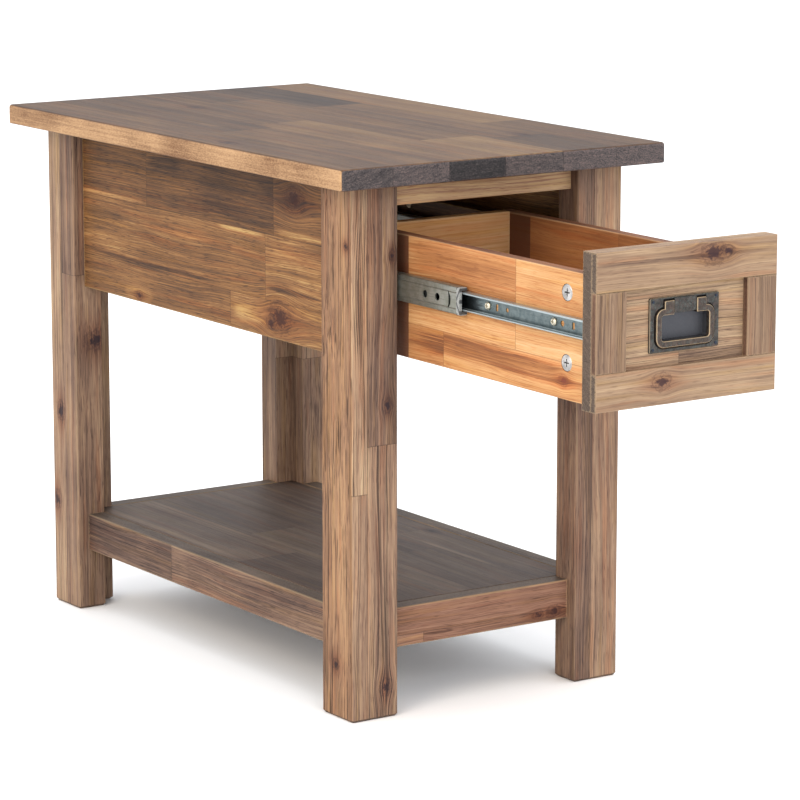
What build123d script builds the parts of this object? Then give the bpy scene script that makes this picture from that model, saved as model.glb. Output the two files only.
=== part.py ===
"""Narrow side table with one drawer and a low shelf.

Solid hardwood frame on four L-section legs.  The drawer runs on a pair of
full-extension ball-bearing slides and has a bail pull in a flush pan.

Units are millimetres.  X runs across the table, the drawer opens towards -Y
and +Z is up.  The origin lies on the floor, under the middle of the table
with its drawer standing open.
"""

import os

from build123d import *

os.makedirs("parts", exist_ok=True)

LEFT = -1
RIGHT = 1
FRONT = -1
REAR = 1
SIDE_NAMES = {LEFT: "left", RIGHT: "right"}
END_NAMES = {FRONT: "front", REAR: "rear"}

# ---------------------------------------------------------------- table
table_width = 356.0
table_depth = 610.0
table_height = 508.0
top_thickness = 19.0
top_overhang = 28.5
top_corner_radius = 4.0
top_ease = 3.0
edge_ease = 1.2

leg_width = 50.0
leg_notch = 20.0
leg_ease = 2.5
foot_chamfer = 2.5

rail_setback = 12.0
rail_thickness = 18.0
apron_bottom = 330.0
top_rail_bottom = 466.0
shelf_top = 97.5
shelf_rail_height = 37.0
shelf_thickness = 18.0

block_leg = 60.0
batten_height = 70.0

# ---------------------------------------------------------------- drawer
open_reach = 259.0
front_width = 193.0
front_bottom = 327.0
front_top = 461.5
front_board_thickness = 12.5
strip_thickness = 6.5
top_strip_height = 34.0
bottom_strip_height = 32.0
stile_width = 32.0
strip_chamfer = 0.7

box_width = 174.0
box_length = 354.0
box_wall = 12.0
box_bottom = 329.0
box_top = 440.0
panel_thickness = 5.0
panel_height = 337.0
groove_depth = 5.5

# ---------------------------------------------------------------- slides
slide_height = 394.0
slide_length = 350.0
middle_setback = 29.0
middle_length = 316.0
sheet = 1.0
cage_sheet = 0.4
outer_cage_length = 140.0
inner_cage_length = 115.0
outer_cage_closed = -10.0
inner_cage_closed = 26.0
outer_ball_radius = 1.8
inner_ball_radius = 1.2
ball_play = 0.1
balls_per_row = 8

# ---------------------------------------------------------------- pull
pull_width = 74.0
pull_height = 47.0
pull_centre = 394.0
plate_thickness = 2.0
pan_width = 66.0
pan_height = 40.0
pan_depth = 6.2
bail_width = 62.0
bail_bar = 5.6
bail_thickness = 4.0
pivot_radius = 1.0
pivot_play = 0.05
seat_play = 0.02

# ---------------------------------------------------------------- fasteners
dowel_radius = 4.0
dowel_length = 40.0
cam_radius = 7.4
cam_depth = 9.3
cam_setback = 34.0
cam_heights = (361.0, 421.0)
thread_length = 10.0
thread_radius = 3.0
bolt_shank_radius = 2.2
bolt_head_radius = 3.4
bolt_bore_radius = 3.8
pan_head_rise = 2.0
cross_width = 0.9
cross_depth = 1.2

# ---------------------------------------------------------------- worked out
leg_top = table_height - top_thickness
top_back = (table_depth + open_reach) / 2
top_front = top_back - table_depth
table_y = (top_front + top_back) / 2
leg_front = top_front + top_overhang
leg_back = top_back - top_overhang
leg_side = table_width / 2 - top_overhang
leg_inner = leg_side - leg_width
notch_side = leg_side - (leg_width - leg_notch)
notch_front = leg_front + (leg_width - leg_notch)
notch_back = leg_back - (leg_width - leg_notch)
rail_side = leg_side - rail_setback
rail_front = leg_front + rail_setback
rail_back = leg_back - rail_setback

front_thickness = front_board_thickness + strip_thickness
drawer_face = top_front - open_reach
panel_face = drawer_face + strip_thickness
box_front = drawer_face + front_thickness
box_back = box_front + box_length
pull_out = rail_front - drawer_face

cabinet_member_front = rail_front + front_thickness + 2.5
drawer_member_front = box_front + 0.5
middle_front = cabinet_member_front + middle_setback - pull_out / 2
outer_cage_front = outer_cage_closed - pull_out / 4
inner_cage_front = inner_cage_closed - pull_out * 3 / 4


def middle(span):
    """Middle of a (low, high) span."""
    return (span[0] + span[1]) / 2


def width(span):
    """Length of a (low, high) span."""
    return span[1] - span[0]


def mirrored(side, low, high):
    """The span from low to high on the right, or its mirror image on the left."""
    return (low, high) if side == RIGHT else (-high, -low)


def save(part, name):
    """Label a finished piece and write it to its own file."""
    part.label = name
    export_step(part, f"parts/{name}.step")


# ================================================================ fasteners
# The fasteners come first, because each wooden piece is bored for the very
# screws and dowels that it takes.


def screw_blank(head_radius, shank_radius, length, flat_head):
    """Screw along Z before its cross slot is cut, head up, with its seat at z = 0."""
    sunk = head_radius - shank_radius
    tip = [(shank_radius, -length + shank_radius), (0.3, -length), (0, -length)]
    if flat_head:
        head = [(0, 0), (head_radius, 0), (shank_radius, -sunk)]
    else:
        rise = pan_head_rise
        head = [(0, rise), (head_radius - 1.2, rise), (head_radius, rise - 1), (head_radius, 0)]
        head += [(shank_radius, 0)]
    with BuildPart() as blank:
        with BuildSketch(Plane.XZ):
            with BuildLine():
                Polyline(*head, *tip, close=True)
            make_face()
        revolve(axis=Axis.Z)
    return blank.part


def slotted(blank, slot_length):
    """The screw with a cross slot in the top of its head."""
    with BuildPart() as piece:
        add(blank)
        with BuildSketch(Plane.XY.offset(blank.bounding_box().max.Z)):
            Rectangle(slot_length, cross_width)
            Rectangle(cross_width, slot_length)
        extrude(amount=-cross_depth, mode=Mode.SUBTRACT)
    return piece.part


def placed(piece, places):
    """Copies of one piece at each of the places."""
    with BuildPart() as group:
        with Locations(*places):
            add(piece)
    return group.part


def inwards(side):
    """Rotation that turns +Z towards the middle of the table from the given side."""
    return (0, -90 * side, 0)


short_flat_blank = screw_blank(3.4, 1.75, 16.0, flat_head=True)
long_flat_blank = screw_blank(4.2, 2.1, 36.0, flat_head=True)
pan_blank = screw_blank(3.6, 1.6, 10.0, flat_head=False)

side_rail_ends = (leg_front + leg_width, leg_back - leg_width)
apron_dowel_heights = (apron_bottom + 40, leg_top - 39)
top_rail_height = (top_rail_bottom + leg_top) / 2
shelf_dowel_height = shelf_top - shelf_rail_height / 2
side_rail_middle = rail_side - rail_thickness / 2
front_rail_middle = rail_front + rail_thickness / 2
rear_rail_middle = rail_back - rail_thickness / 2

cross_joints = [(rear_rail_middle, height) for height in apron_dowel_heights]
cross_joints += [(front_rail_middle, top_rail_height)]
cross_joints += [(front_rail_middle, shelf_dowel_height), (rear_rail_middle, shelf_dowel_height)]
dowel_places = []
for side in (LEFT, RIGHT):
    for end_y in side_rail_ends:
        for height in (*apron_dowel_heights, shelf_dowel_height):
            dowel_places.append(Location((side * side_rail_middle, end_y, height), (90, 0, 0)))
    for rail_y, height in cross_joints:
        dowel_places.append(Location((side * leg_inner, rail_y, height), (0, 90, 0)))

with BuildPart() as dowel:
    Cylinder(dowel_radius, dowel_length)
    chamfer(dowel.edges().filter_by(GeomType.CIRCLE), 0.8)

frame_dowels = placed(dowel.part, dowel_places)

block_corners = [(side, end) for side in (LEFT, RIGHT) for end in (FRONT, REAR)]
notch_ends = {FRONT: notch_front, REAR: notch_back}
tabletop_screw_places = [
    Location(
        (side * (notch_side - inset_x), notch_ends[end] - end * inset_y, top_rail_bottom),
        (180, 0, 0),
    )
    for side, end in block_corners
    for inset_x, inset_y in ((14, 34), (34, 14))
]
tabletop_screws = placed(slotted(long_flat_blank, 5.0), tabletop_screw_places)
tabletop_screw_bores = placed(long_flat_blank, tabletop_screw_places)

batten_screw_places = [
    Location((side * leg_inner, spot_y, slide_height + rise), inwards(side))
    for side in (LEFT, RIGHT)
    for spot_y in (notch_front + 60, table_y, notch_back - 60)
    for rise in (-27.5, 27.5)
]
batten_screws = placed(slotted(long_flat_blank, 5.0), batten_screw_places)
batten_screw_bores = placed(long_flat_blank, batten_screw_places)

cabinet_screw_spots = [cabinet_member_front + back for back in (37, 165, 293)]
cabinet_screw_places = [
    Location((side * (leg_inner - sheet), spot_y, slide_height), inwards(side))
    for side in (LEFT, RIGHT)
    for spot_y in cabinet_screw_spots
]
cabinet_member_screws = placed(slotted(short_flat_blank, 4.0), cabinet_screw_places)
cabinet_screw_bores = placed(short_flat_blank, cabinet_screw_places)

drawer_screw_spots = [drawer_member_front + back for back in (50, 146, 306)]
drawer_screw_places = [
    Location((side * (box_width / 2 + sheet), spot_y, slide_height), inwards(-side))
    for side in (LEFT, RIGHT)
    for spot_y in drawer_screw_spots
]
drawer_member_screws = placed(slotted(pan_blank, 3.6), drawer_screw_places)
drawer_screw_bores = placed(pan_blank, drawer_screw_places)

wall_middle = box_width / 2 - box_wall / 2
cam_spots = [(side, height) for side in (LEFT, RIGHT) for height in cam_heights]
bolt_places = [Location((side * wall_middle, box_front, height)) for side, height in cam_spots]
cam_places = [
    Location((side * box_width / 2, box_front + cam_setback, height), inwards(-side))
    for side, height in cam_spots
]

with BuildPart() as cam_bolt:
    # Along +Y: a thread for the drawer front, a thin shank and a collar that
    # the cam grips.
    with BuildSketch(Plane.XY):
        with BuildLine():
            Polyline(
                (0, -thread_length),
                (thread_radius, -thread_length),
                (thread_radius, 0),
                (bolt_shank_radius, 0),
                (bolt_shank_radius, cam_setback - 4.5),
                (bolt_head_radius, cam_setback - 3.5),
                (bolt_head_radius, cam_setback - 1),
                (0, cam_setback - 1),
                close=True,
            )
        make_face()
    revolve(axis=Axis.Y)

with BuildPart() as cam_lock:
    # A drum along -Z whose face carries a cross slot, cut away on the side
    # where the collar of the bolt enters.
    Cylinder(cam_radius, cam_depth, align=(Align.CENTER, Align.CENTER, Align.MAX))
    chamfer(cam_lock.faces().sort_by(Axis.Z)[-1].edges(), 0.6)
    with BuildSketch(Plane.XY):
        Rectangle(7.0, 1.3)
        Rectangle(1.3, 7.0)
    extrude(amount=-2.4, mode=Mode.SUBTRACT)
    with Locations(Location((0, 0, -box_wall / 2), (90, 0, 0))):
        Cylinder(
            bolt_bore_radius,
            cam_radius + 1,
            align=(Align.CENTER, Align.CENTER, Align.MIN),
            mode=Mode.SUBTRACT,
        )

with BuildPart() as bolt_bore:
    with Locations(Location((0, 0, 0), (90, 0, 0))):
        Cylinder(bolt_bore_radius, cam_setback, align=(Align.CENTER, Align.CENTER, Align.MAX))

with BuildPart() as cam_pocket:
    Cylinder(cam_radius + 0.1, cam_depth + 0.2, align=(Align.CENTER, Align.CENTER, Align.MAX))

cam_bolts = placed(cam_bolt.part, bolt_places)
cam_locks = placed(cam_lock.part, cam_places)
bolt_bores = placed(bolt_bore.part, bolt_places)
cam_pockets = placed(cam_pocket.part, cam_places)

back_dowel_places = [
    Location((side * (box_width / 2 - box_wall + 3), box_back - box_wall / 2, height), (0, 90, 0))
    for side in (LEFT, RIGHT)
    for height in (box_bottom + 30, box_top - 25)
]

with BuildPart() as back_dowel:
    Cylinder(3.0, 24.0)

drawer_back_dowels = placed(back_dowel.part, back_dowel_places)

# ================================================================ table frame


def board(x, y, z, along, ease=edge_ease, bores=()):
    """Board filling three (low, high) spans, its four long edges rounded over.

    The board is bored for every fastener in bores.
    """
    with BuildPart() as piece:
        with BuildSketch(Plane.XY.offset(z[0])):
            with Locations((middle(x), middle(y))):
                Rectangle(width(x), width(y))
        extrude(amount=width(z))
        fillet(piece.edges().filter_by(along), ease)
        for bore in bores:
            add(bore, mode=Mode.SUBTRACT)
    return piece.part


with BuildPart() as tabletop:
    with BuildSketch(Plane.XY.offset(leg_top)):
        with Locations((0, table_y)):
            RectangleRounded(table_width, table_depth, top_corner_radius)
    extrude(amount=top_thickness)
    fillet(tabletop.faces().sort_by(Axis.Z)[-1].edges(), top_ease)
    fillet(tabletop.faces().sort_by(Axis.Z)[0].edges(), edge_ease)
    add(tabletop_screw_bores, mode=Mode.SUBTRACT)


def leg(side, end):
    """Corner leg: a square post with its inner corner notched away."""
    post_x = side * (leg_side - leg_width / 2)
    post_y = table_y + end * (table_depth / 2 - top_overhang - leg_width / 2)
    notch_shift = (leg_width - leg_notch) / 2
    with BuildPart() as piece:
        with BuildSketch():
            with Locations((post_x, post_y)):
                RectangleRounded(leg_width, leg_width, leg_ease)
            with Locations((post_x - side * notch_shift, post_y - end * notch_shift)):
                Rectangle(leg_notch, leg_notch, mode=Mode.SUBTRACT)
        extrude(amount=leg_top)
        chamfer(piece.faces().sort_by(Axis.Z)[0].edges(), foot_chamfer)
        add(frame_dowels, mode=Mode.SUBTRACT)
    return piece.part


def corner_block(side, end):
    """Triangular block in an upper corner, which the tabletop is screwed to."""
    corner_x = side * notch_side
    corner_y = notch_ends[end]
    with BuildPart() as piece:
        with BuildSketch(Plane.XY.offset(top_rail_bottom)):
            with BuildLine():
                Polyline(
                    (corner_x, corner_y),
                    (corner_x - side * block_leg, corner_y),
                    (corner_x, corner_y - end * block_leg),
                    close=True,
                )
            make_face()
        extrude(amount=leg_top - top_rail_bottom)
        add(tabletop_screw_bores, mode=Mode.SUBTRACT)
    return piece.part


apron_span = (apron_bottom, leg_top)
shelf_rail_span = (shelf_top - shelf_rail_height, shelf_top)
batten_span = (slide_height - batten_height / 2, slide_height + batten_height / 2)
inner_span = (-leg_inner, leg_inner)
front_rail_span = (rail_front, rail_front + rail_thickness)
rear_rail_span = (rail_back - rail_thickness, rail_back)

rear_apron = board(inner_span, rear_rail_span, apron_span, Axis.X, bores=[frame_dowels])
front_top_rail = board(
    inner_span, front_rail_span, (top_rail_bottom, leg_top), Axis.X, bores=[frame_dowels]
)
front_shelf_rail = board(inner_span, front_rail_span, shelf_rail_span, Axis.X, bores=[frame_dowels])
rear_shelf_rail = board(inner_span, rear_rail_span, shelf_rail_span, Axis.X, bores=[frame_dowels])

with BuildPart() as shelf_panel:
    with BuildSketch(Plane.XY.offset(shelf_top - shelf_thickness)):
        with Locations((0, table_y)):
            Rectangle(2 * notch_side, notch_back - notch_front)
    extrude(amount=shelf_thickness)
    chamfer(shelf_panel.faces().sort_by(Axis.Z)[-1].edges(), edge_ease)

save(tabletop.part, "tabletop")
save(rear_apron, "rear_apron")
save(front_top_rail, "front_top_rail")
save(front_shelf_rail, "front_shelf_rail")
save(rear_shelf_rail, "rear_shelf_rail")
save(shelf_panel.part, "shelf_panel")

for side, end in block_corners:
    corner_name = f"{END_NAMES[end]}_{SIDE_NAMES[side]}"
    save(leg(side, end), f"{corner_name}_leg")
    save(corner_block(side, end), f"{corner_name}_corner_block")

for side in (LEFT, RIGHT):
    side_name = SIDE_NAMES[side]
    rail_x = mirrored(side, rail_side - rail_thickness, rail_side)
    batten_x = mirrored(side, leg_inner, notch_side)
    apron = board(rail_x, side_rail_ends, apron_span, Axis.Y, bores=[frame_dowels, batten_screw_bores])
    shelf_rail = board(rail_x, side_rail_ends, shelf_rail_span, Axis.Y, bores=[frame_dowels])
    batten = board(
        batten_x,
        (notch_front, notch_back),
        batten_span,
        Axis.Y,
        bores=[batten_screw_bores, cabinet_screw_bores],
    )
    save(apron, f"{side_name}_apron")
    save(shelf_rail, f"{side_name}_shelf_rail")
    save(batten, f"{side_name}_slide_batten")

# ================================================================ drawer slides
# Sections are drawn from the face of the batten inwards.  Each is the centre
# line of the bent sheet, as (distance from the batten, height above centre).

cabinet_section = ((9.1, -15.5), (9.1, -17), (0.5, -17), (0.5, 17), (9.1, 17), (9.1, 15.5))
middle_section = (
    (9.9, -11.8),
    (3.5, -11.8),
    (3.5, -7.4),
    (2.5, -6.4),
    (2.5, 6.4),
    (3.5, 7.4),
    (3.5, 11.8),
    (9.9, 11.8),
)
drawer_section = ((5.5, -6.6), (5.5, -7.9), (12.0, -7.9), (12.0, 7.9), (5.5, 7.9), (5.5, 6.6))
outer_cage_section = ((8.0, -14.4), (1.5, -14.4), (1.5, 14.4), (8.0, 14.4))
inner_cage_section = ((9.0, -9.85), (4.5, -9.85), (4.5, 9.85), (9.0, 9.85))
outer_ball_inset = 5.9
outer_ball_height = 14.4
inner_ball_inset = 7.4
inner_ball_height = 9.85
bend_radius = 0.8


def slide_x(side, inset):
    """X of a point of a slide, given its distance from the batten."""
    return side * (leg_inner - inset)


def bent_sheet(side, section, thickness, front, length):
    """Sheet of constant thickness bent to a section, running back from front."""
    points = [(slide_x(side, inset), slide_height + rise) for inset, rise in section]
    with BuildPart() as piece:
        with BuildSketch(Plane.XZ.offset(-front - length)):
            with BuildLine() as centre_line:
                FilletPolyline(*points, radius=bend_radius)
            trace(centre_line.line, line_width=thickness)
        extrude(amount=length)
    return piece.part


def side_holes(side, inset, spots):
    """Bores along X for (y, height above centre, radius) spots, round a given inset."""
    with BuildPart() as holes:
        for spot_y, rise, radius in spots:
            centre = (slide_x(side, inset), spot_y, slide_height + rise)
            with Locations(Location(centre, (0, 90, 0))):
                Cylinder(radius, 3.0)
    return holes.part


def cabinet_member(side):
    """Outer channel, screwed to the batten."""
    channel = bent_sheet(side, cabinet_section, sheet, cabinet_member_front, slide_length)
    spare_holes = [(spot_y + 22, 0, 3.0) for spot_y in cabinet_screw_spots]
    with BuildPart() as member:
        add(channel)
        add(side_holes(side, 0, spare_holes), mode=Mode.SUBTRACT)
        add(cabinet_screw_bores, mode=Mode.SUBTRACT)
    return member.part


def middle_member(side):
    """Middle channel, which travels half as far as the drawer."""
    channel = bent_sheet(side, middle_section, sheet, middle_front, middle_length)
    holes = [(middle_front + 29, 0, 3.4), (middle_front + 48, 0, 3.4)]
    holes += [(middle_front + 120, 0, 3.4), (middle_front + 230, 0, 3.4)]
    with BuildPart() as member:
        add(channel)
        add(side_holes(side, 2.5, holes), mode=Mode.SUBTRACT)
        with BuildSketch(Plane.YZ.offset(slide_x(side, 3))):
            with BuildLine():
                ThreePointArc(
                    (middle_front + 13.5, slide_height - 8),
                    (middle_front + 8.5, slide_height),
                    (middle_front + 13.5, slide_height + 8),
                )
                ThreePointArc(
                    (middle_front + 13.5, slide_height + 8),
                    (middle_front + 12, slide_height),
                    (middle_front + 13.5, slide_height - 8),
                )
            make_face()
        extrude(amount=2, both=True, mode=Mode.SUBTRACT)
    return member.part


def drawer_member(side):
    """Inner channel, screwed to the side of the drawer."""
    channel = bent_sheet(side, drawer_section, sheet, drawer_member_front, slide_length)
    front_spot, second_spot = drawer_screw_spots[:2]
    spare_holes = [(front_spot - 11.5, 0, 2.6), (second_spot - 28, 0, 2.0)]
    slot_places = [
        (slide_x(side, 12), slot_y, slide_height) for slot_y in (front_spot - 27, second_spot - 13)
    ]
    with BuildPart() as member:
        add(channel)
        add(side_holes(side, 12, spare_holes), mode=Mode.SUBTRACT)
        with Locations(*slot_places):
            Box(3, 3.4, 6.0, mode=Mode.SUBTRACT)
        add(drawer_screw_bores, mode=Mode.SUBTRACT)
    return member.part


def ball_spots(side, inset, rise, front, length):
    """Centres of the two rows of balls that a cage carries."""
    pitch = (length - 14) / (balls_per_row - 1)
    return [
        (slide_x(side, inset), front + 7 + pitch * place, slide_height + row * rise)
        for place in range(balls_per_row)
        for row in (-1, 1)
    ]


def ball_cage(side, section, spots, ball_radius, front, length):
    """Bent strip that keeps two rows of balls apart."""
    strip = bent_sheet(side, section, cage_sheet, front, length)
    with BuildPart() as cage:
        add(strip)
        with Locations(*spots):
            Cylinder(ball_radius + ball_play, 4, mode=Mode.SUBTRACT)
    return cage.part


def balls(spots, radius):
    """One steel ball at each spot."""
    with BuildPart() as group:
        with Locations(*spots):
            Sphere(radius)
    return group.part


def middle_bumper(side):
    """Plastic stop: a C-shaped cap on the middle member, with a plug inside it."""
    cap_length = 4.8
    plug_length = 12.0
    middle_of_cap = slide_x(side, 6.1)
    middle_of_plug = slide_x(side, 6.95)
    middle_of_mouth = slide_x(side, 4.6 + 5)
    with BuildPart() as bumper:
        with BuildSketch(Plane.XZ.offset(-middle_front)) as cap:
            with Locations((middle_of_cap, slide_height)):
                RectangleRounded(8.2, 24.6, 1.2)
            with Locations((middle_of_mouth, slide_height)):
                Rectangle(10, 18.8, mode=Mode.SUBTRACT)
        extrude(amount=cap_length)
        with BuildSketch(Plane.XZ.offset(-middle_front)):
            with Locations((middle_of_plug, slide_height)):
                Rectangle(5.7, 22.2)
            with Locations((middle_of_mouth, slide_height)):
                Rectangle(10, 18.8, mode=Mode.SUBTRACT)
        extrude(amount=-plug_length)
    return bumper.part


for side in (LEFT, RIGHT):
    side_name = SIDE_NAMES[side]
    outer_spots = ball_spots(side, outer_ball_inset, outer_ball_height, outer_cage_front, outer_cage_length)
    inner_spots = ball_spots(side, inner_ball_inset, inner_ball_height, inner_cage_front, inner_cage_length)
    outer_cage = ball_cage(
        side, outer_cage_section, outer_spots, outer_ball_radius, outer_cage_front, outer_cage_length
    )
    inner_cage = ball_cage(
        side, inner_cage_section, inner_spots, inner_ball_radius, inner_cage_front, inner_cage_length
    )
    save(cabinet_member(side), f"{side_name}_cabinet_member")
    save(middle_member(side), f"{side_name}_middle_member")
    save(drawer_member(side), f"{side_name}_drawer_member")
    save(middle_bumper(side), f"{side_name}_slide_bumper")
    save(outer_cage, f"{side_name}_outer_ball_cage")
    save(inner_cage, f"{side_name}_inner_ball_cage")
    save(balls(outer_spots, outer_ball_radius), f"{side_name}_outer_balls")
    save(balls(inner_spots, inner_ball_radius), f"{side_name}_inner_balls")

# ================================================================ sizes of the pull
# Heights are above the middle of the pull, depths in front of the sunk panel.

groove_floor = -0.5
pan_floor = -5.0
pocket_floor = -3.0
pocket_back = -4.0
pocket_wall = 0.7
block_half = 11.6
block_front = plate_thickness + 1.2
block_bottom = pull_height / 2 - 13.4
bail_half = bail_width / 2
bail_bottom = -pull_height / 2 + 4.2
bail_top = pull_height / 2 - 9.6
tab_inner = 12.1
tab_outer = 22.3
tab_top = pull_height / 2 - 2.9
pocket_half = tab_outer + 0.6
pocket_top = tab_top + 1.4
pivot_rise = tab_top - 3.2
pivot_front = 1.6
groove_gap = 1.4
mortise_gap = 0.3


def pull_plane(forward):
    """Plane facing the front, a distance in front of the drawer's sunk panel."""
    return Plane((0, panel_face - forward, pull_centre), x_dir=(1, 0, 0), z_dir=(0, -1, 0))


def spanning(low_x, high_x, low_z, high_z, radius):
    """Rounded rectangle between given limits, in the current sketch."""
    with Locations(((low_x + high_x) / 2, (low_z + high_z) / 2)):
        RectangleRounded(high_x - low_x, high_z - low_z, radius)


# ================================================================ drawer box

front_half = front_width / 2
front_middle = (front_bottom + bottom_strip_height, front_top - top_strip_height)
pin_spots = [(x, z) for x in (-33.5, 33.5) for z in (-20.3, 20.3)]

with BuildPart() as pull_pins:
    for pin_x, pin_z in pin_spots:
        pin_head = (pin_x, panel_face - plate_thickness, pull_centre + pin_z)
        with BuildSketch(Plane(pin_head, x_dir=(1, 0, 0), z_dir=(0, -1, 0))):
            Circle(1.2)
        extrude(amount=0.5)
        with BuildSketch(Plane(pin_head, x_dir=(1, 0, 0), z_dir=(0, -1, 0))):
            Circle(0.7)
        extrude(amount=-11.0)

with BuildPart() as drawer_bottom:
    with BuildSketch(Plane.XY.offset(panel_height)):
        with Locations((0, (box_front + box_back - box_wall) / 2)):
            inner_width = box_width - 2 * box_wall
            Rectangle(inner_width + 2 * groove_depth, box_length - box_wall + 2 * groove_depth)
    extrude(amount=panel_thickness)

with BuildPart() as drawer_front_board:
    with BuildSketch(Plane.XZ.offset(-box_front)):
        with Locations((0, (front_bottom + front_top) / 2)):
            Rectangle(front_width, front_top - front_bottom)
    extrude(amount=front_board_thickness)
    fillet(drawer_front_board.faces().sort_by(Axis.Y)[-1].edges(), 0.8)
    with BuildSketch(Plane.XZ.offset(-panel_face)):
        with Locations((0, pull_centre)):
            RectangleRounded(pan_width + 2 * mortise_gap, pan_height + 2 * mortise_gap, 3)
    extrude(amount=-pan_depth - mortise_gap, mode=Mode.SUBTRACT)
    with BuildSketch(pull_plane(0)):
        recess_half = pocket_half + pocket_wall + mortise_gap
        recess_top = pocket_top + pocket_wall + mortise_gap
        spanning(-recess_half, recess_half, bail_top - 5, recess_top, 0.8)
    extrude(amount=pocket_back - mortise_gap, mode=Mode.SUBTRACT)
    add(drawer_bottom.part, mode=Mode.SUBTRACT)
    add(cam_bolts, mode=Mode.SUBTRACT)
    add(pull_pins.part, mode=Mode.SUBTRACT)


def front_strip(x, z):
    """Strip applied to the drawer front, its four front edges bevelled."""
    with BuildPart() as strip:
        with BuildSketch(Plane.XZ.offset(-panel_face)):
            with Locations((middle(x), middle(z))):
                Rectangle(width(x), width(z))
        extrude(amount=strip_thickness)
        chamfer(strip.faces().sort_by(Axis.Y)[0].edges(), strip_chamfer)
    return strip.part


full_front = (-front_half, front_half)
top_strip = front_strip(full_front, (front_middle[1], front_top))
bottom_strip = front_strip(full_front, (front_bottom, front_middle[0]))

wall_span = (box_front, box_back)
box_half = box_width / 2
back_span = (box_back - box_wall, box_back)

drawer_back = board(
    (-box_half + box_wall, box_half - box_wall),
    back_span,
    (box_bottom, box_top),
    Axis.X,
    bores=[drawer_bottom.part, drawer_back_dowels],
)

# ================================================================ pieces of the pull
# The plate is a thin casting with a pan let into the drawer front.  The bail
# lies in a groove round the pan and turns on a pin through the middle block.

pin_middle = (0, panel_face - pivot_front, pull_centre + pivot_rise)

with BuildPart() as pull_pivot_pin:
    with Locations(Location(pin_middle, (0, 90, 0))):
        Cylinder(pivot_radius, 2 * tab_outer - 1)

with BuildPart() as pull_plate:
    with BuildSketch(pull_plane(0)):
        RectangleRounded(pull_width, pull_height, 1.5)
    extrude(amount=plate_thickness)
    chamfer(pull_plate.faces().sort_by(Axis.Y)[0].edges(), 0.5)
    with BuildSketch(pull_plane(0)):
        RectangleRounded(pan_width, pan_height, 2.5)
    extrude(amount=-pan_depth)
    with BuildSketch(pull_plane(0)):
        boss_half = pocket_half + pocket_wall
        spanning(-boss_half, boss_half, bail_top - 5, pocket_top + pocket_wall, 0.8)
    extrude(amount=pocket_back)
    with BuildSketch(pull_plane(groove_floor)):
        spanning(
            -bail_half - groove_gap,
            bail_half + groove_gap,
            bail_bottom - groove_gap,
            bail_top + groove_gap,
            9.4,
        )
    extrude(amount=plate_thickness - groove_floor, mode=Mode.SUBTRACT)
    with BuildSketch(pull_plane(pocket_floor)):
        for side in (LEFT, RIGHT):
            tab_span = mirrored(side, block_half - 1, pocket_half)
            spanning(*tab_span, bail_top - 5, pocket_top, 0.8)
    extrude(amount=plate_thickness - pocket_floor, mode=Mode.SUBTRACT)
    with BuildSketch(pull_plane(pan_floor)):
        inset = bail_bar + 0.4
        spanning(-bail_half + inset, bail_half - inset, bail_bottom + inset, bail_top - inset, 2.0)
    extrude(amount=plate_thickness - pan_floor, taper=-8, mode=Mode.SUBTRACT)
    with BuildSketch(pull_plane(groove_floor)):
        spanning(-block_half, block_half, block_bottom, pan_height / 2 - 1, 0.6)
    extrude(amount=block_front - groove_floor)
    with BuildSketch(pull_plane(plate_thickness)):
        spanning(-block_half, block_half, block_bottom, pull_height / 2 - 1.2, 0.6)
    extrude(amount=block_front - plate_thickness)
    add(pull_pins.part, mode=Mode.SUBTRACT)
    with Locations(Location(pin_middle, (0, 90, 0))):
        Cylinder(pivot_radius + seat_play, 2 * block_half + 1, mode=Mode.SUBTRACT)

with BuildPart() as pull_bail:
    with BuildSketch(pull_plane(0)):
        spanning(-bail_half, bail_half, bail_bottom, bail_top, 8.0)
        spanning(-tab_outer, tab_outer, bail_top - bail_bar, tab_top, 1.5)
    extrude(amount=bail_thickness)
    with BuildSketch(pull_plane(0)):
        spanning(
            -bail_half + bail_bar,
            bail_half - bail_bar,
            bail_bottom + bail_bar,
            bail_top - bail_bar,
            2.6,
        )
        with Locations((0, (bail_top - 12 + tab_top + 1) / 2)):
            Rectangle(2 * tab_inner, tab_top + 1 - bail_top + 12)
    extrude(amount=bail_thickness, mode=Mode.SUBTRACT)
    fillet(pull_bail.faces().sort_by(Axis.Y)[0].edges(), 1.0)
    with Locations(Location(pin_middle, (0, 90, 0))):
        Cylinder(pivot_radius + pivot_play, 2 * tab_outer + 2, mode=Mode.SUBTRACT)

save(frame_dowels, "frame_dowels")
save(tabletop_screws, "tabletop_screws")
save(batten_screws, "batten_screws")
save(cabinet_member_screws, "cabinet_member_screws")
save(drawer_member_screws, "drawer_member_screws")
save(cam_bolts, "cam_bolts")
save(cam_locks, "cam_locks")
save(drawer_back_dowels, "drawer_back_dowels")
save(drawer_front_board.part, "drawer_front_board")
save(top_strip, "drawer_front_top_strip")
save(bottom_strip, "drawer_front_bottom_strip")
save(drawer_back, "drawer_back")
save(drawer_bottom.part, "drawer_bottom")
save(pull_plate.part, "pull_plate")
save(pull_pins.part, "pull_pins")
save(pull_pivot_pin.part, "pull_pivot_pin")
save(pull_bail.part, "pull_bail")

for side in (LEFT, RIGHT):
    side_name = SIDE_NAMES[side]
    stile = front_strip(mirrored(side, front_half - stile_width, front_half), front_middle)
    drawer_side = board(
        mirrored(side, box_half - box_wall, box_half),
        wall_span,
        (box_bottom, box_top),
        Axis.Y,
        bores=[drawer_bottom.part, bolt_bores, cam_pockets, drawer_back_dowels, drawer_screw_bores],
    )
    save(stile, f"drawer_front_{side_name}_stile")
    save(drawer_side, f"drawer_{side_name}_side")
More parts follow.
